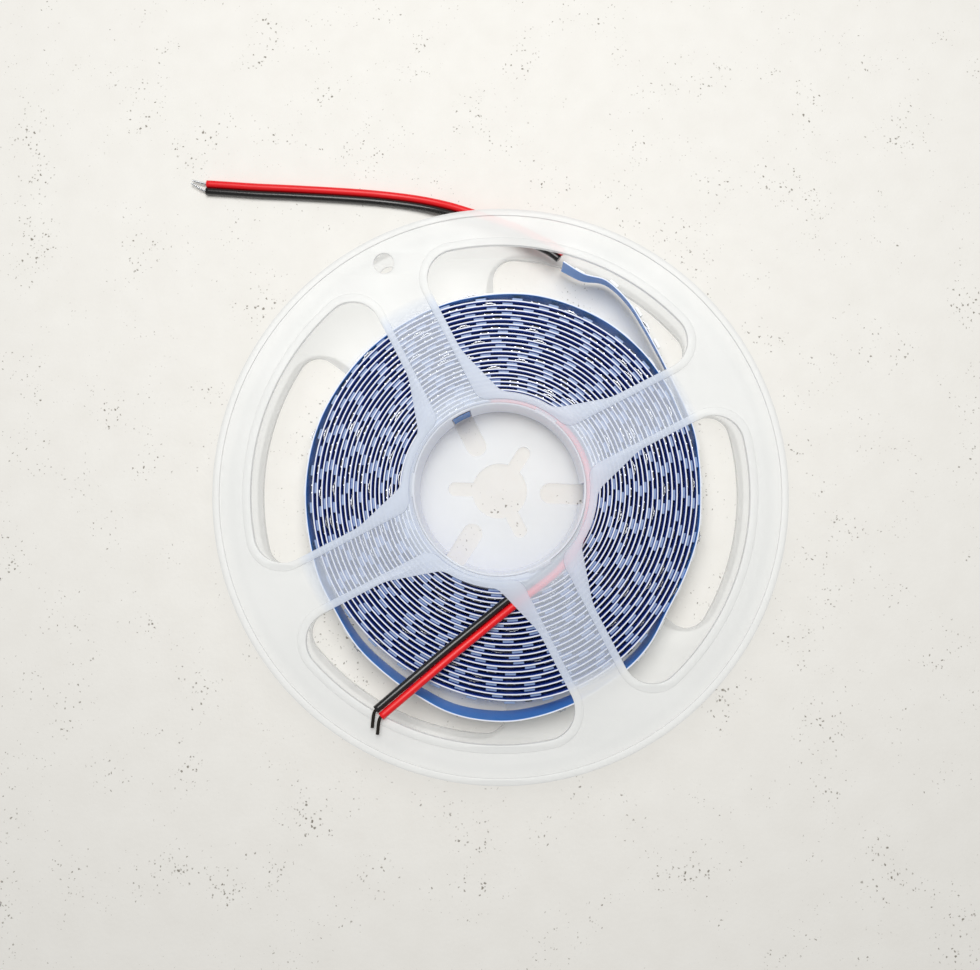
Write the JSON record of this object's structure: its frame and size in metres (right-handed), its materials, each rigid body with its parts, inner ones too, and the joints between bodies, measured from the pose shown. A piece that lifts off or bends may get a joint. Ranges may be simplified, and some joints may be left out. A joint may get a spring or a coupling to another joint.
{
  "type": "led strip light reel",
  "caption": "Flat spool with two windowed flanges and an open hub, wound on edge with a flexible LED strip, with a free two-wire lead at each end of the strip.",
  "frame": {"origin": "on the reel's axis, in the plane that the lower rim bead rests on", "axes": "+Z along the reel's axis, from the lower flange to the upper one; +X to the right and +Y up in the picture, which looks down on the reel"},
  "size_m": [0.1382, 0.1387, 0.0151],
  "materials": {
    "reel_plastic": "satin translucent white",
    "strip": "white flexible board with light packages",
    "red_insulation": "satin",
    "black_insulation": "satin",
    "tinned_wire": "bright tinned",
    "pin_metal": "dull dark"
  },
  "bodies": {
    "root": {"lower_flange": "reel_plastic", "upper_flange": "reel_plastic", "led_strip": "strip", "outer_lead_red": "red_insulation", "outer_lead_black": "black_insulation", "inner_lead_red": "red_insulation", "inner_lead_black": "black_insulation", "outer_tip_red": "tinned_wire", "outer_tip_black": "tinned_wire", "inner_pin_red": "pin_metal", "inner_pin_black": "pin_metal", "outer_solder_plus": "tinned_wire", "outer_solder_minus": "tinned_wire", "inner_solder_plus": "tinned_wire", "inner_solder_minus": "tinned_wire"}
  },
  "joints": []
}
